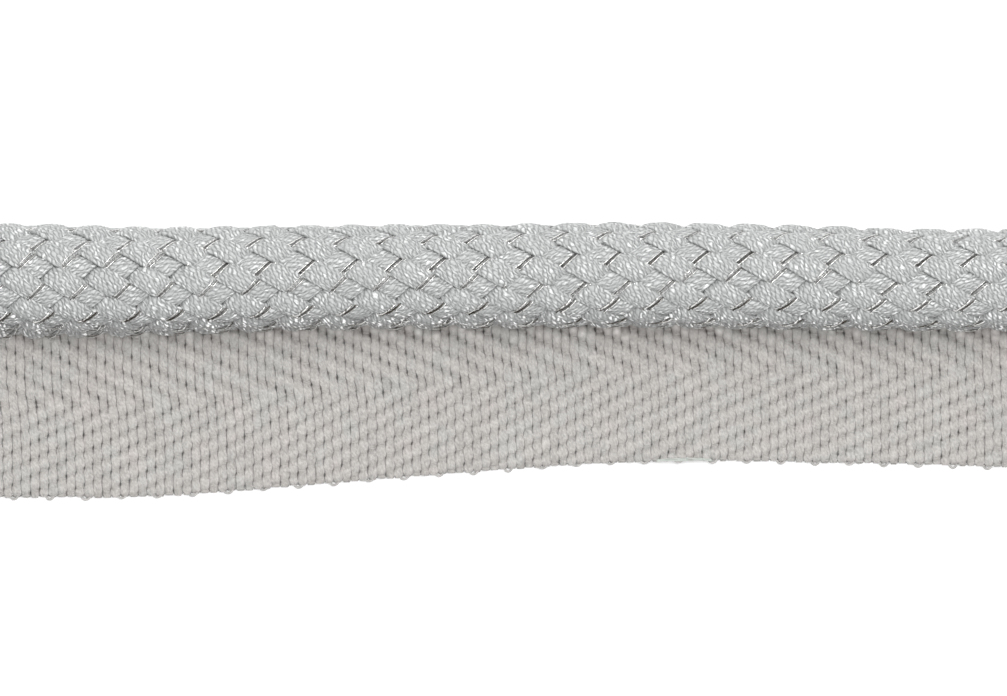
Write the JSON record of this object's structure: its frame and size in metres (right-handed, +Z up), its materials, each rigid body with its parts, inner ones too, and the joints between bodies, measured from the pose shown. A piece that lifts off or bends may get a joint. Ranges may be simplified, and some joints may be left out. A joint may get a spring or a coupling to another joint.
{
  "type": "flanged braided cord trim",
  "caption": "Straight length of silver-grey braided cord sewn along one edge of a flat twill-woven tape that serves as its sewing flange.",
  "frame": {"origin": "middle of the footprint, on the surface that the tape lies on", "axes": "+X along the cord, +Y across from the tape's free edge to the cord, +Z up from the surface"},
  "size_m": [0.11, 0.0262, 0.011],
  "materials": {
    "cord_yarn": "silky twisted yarn",
    "tape_cloth": "matt woven twill"
  },
  "bodies": {
    "root": {"braided_cord": "cord_yarn", "flange_tape": "tape_cloth"}
  },
  "joints": []
}
